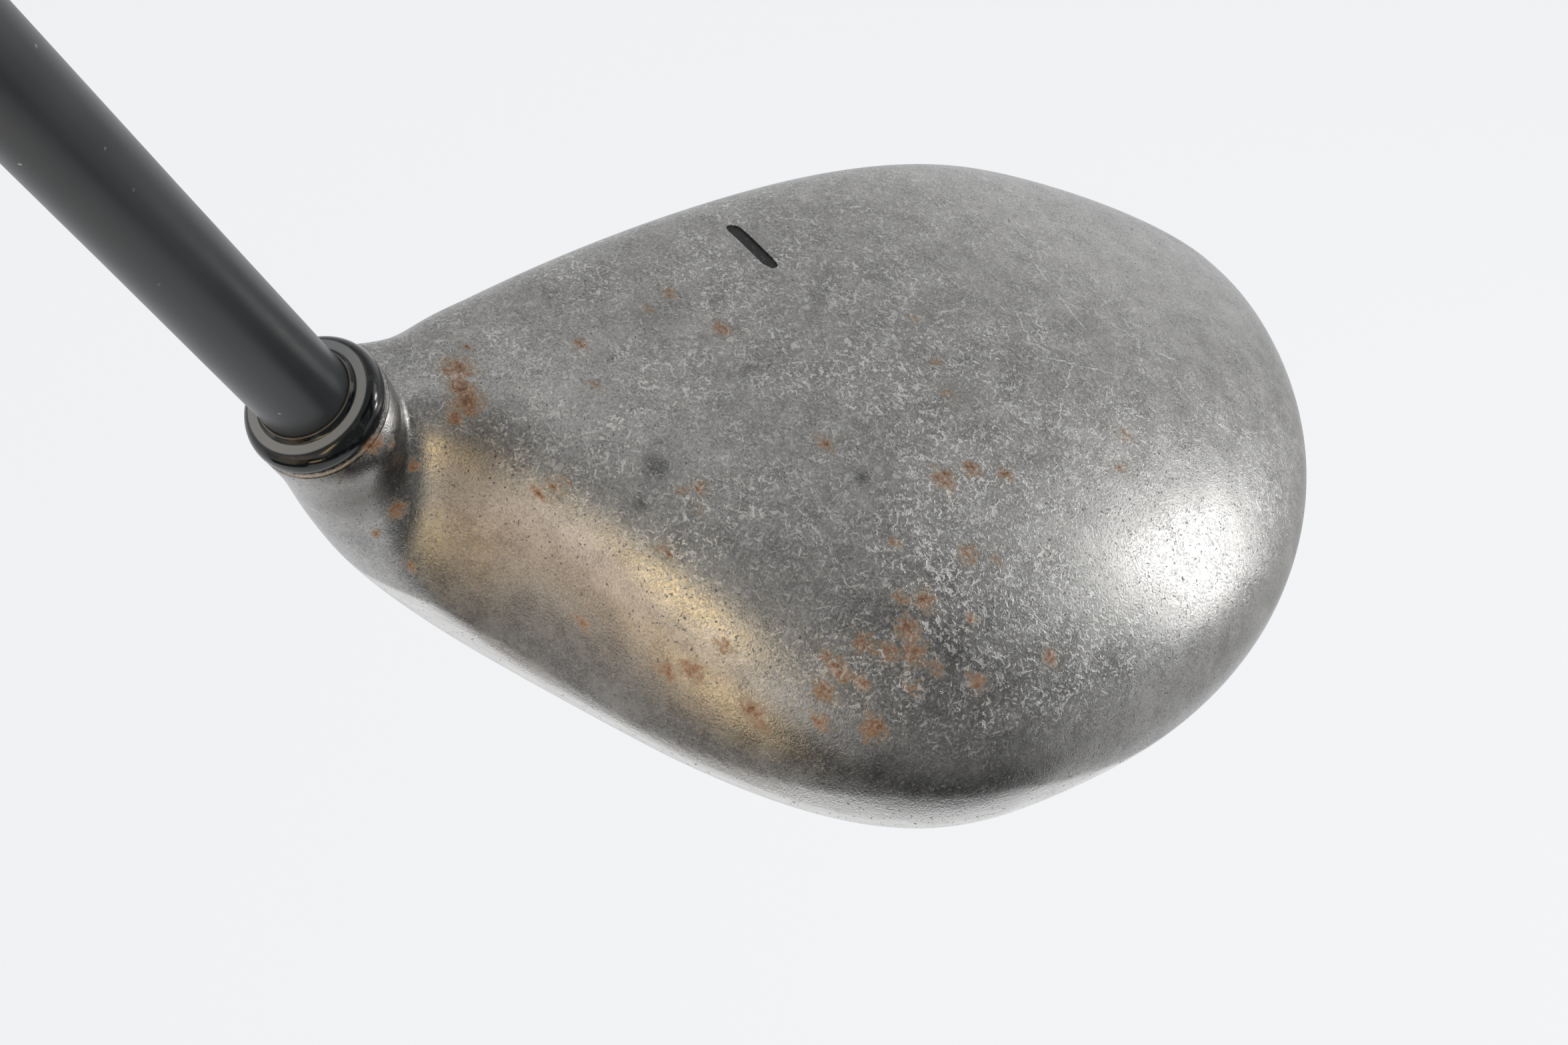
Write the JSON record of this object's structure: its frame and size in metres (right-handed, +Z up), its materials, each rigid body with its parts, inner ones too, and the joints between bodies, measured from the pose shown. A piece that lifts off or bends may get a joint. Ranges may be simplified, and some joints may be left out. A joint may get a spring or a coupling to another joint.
{
  "type": "fairway wood golf club",
  "caption": "Right-handed fairway wood: hollow steel head with a short neck, tapered shaft bonded through to the sole, black ferrule and ribbed rubber grip.",
  "frame": {"origin": "on the small flat of the sole where the head rests on level ground, straight under the shaft's axis plane", "axes": "address position: +X from heel to toe, +Y towards the target, +Z up"},
  "size_m": [0.6972, 0.0737, 0.9105],
  "materials": {
    "head_steel": "cast stainless steel, tumbled and worn to a dull grey with fine curled scratches and rust specks",
    "plate_steel": "satin stainless steel",
    "foam": "cured expanding foam",
    "paint_fill": "matt black paint in a shallow recess",
    "plug_plastic": "black plastic",
    "shaft_finish": "near-black semi-gloss painted graphite with small chips",
    "ferrule_plastic": "polished black plastic",
    "tape": "paper tape",
    "grip_rubber": "black moulded rubber",
    "cap_rubber": "black moulded rubber"
  },
  "bodies": {
    "root": {"head_body": "head_steel", "sole_plate": "plate_steel", "foam_core": "foam", "alignment_paint": "paint_fill", "tip_plug": "plug_plastic", "shaft": "shaft_finish", "ferrule": "ferrule_plastic", "grip_tape": "tape", "grip": "grip_rubber", "grip_cap": "cap_rubber"}
  },
  "joints": []
}
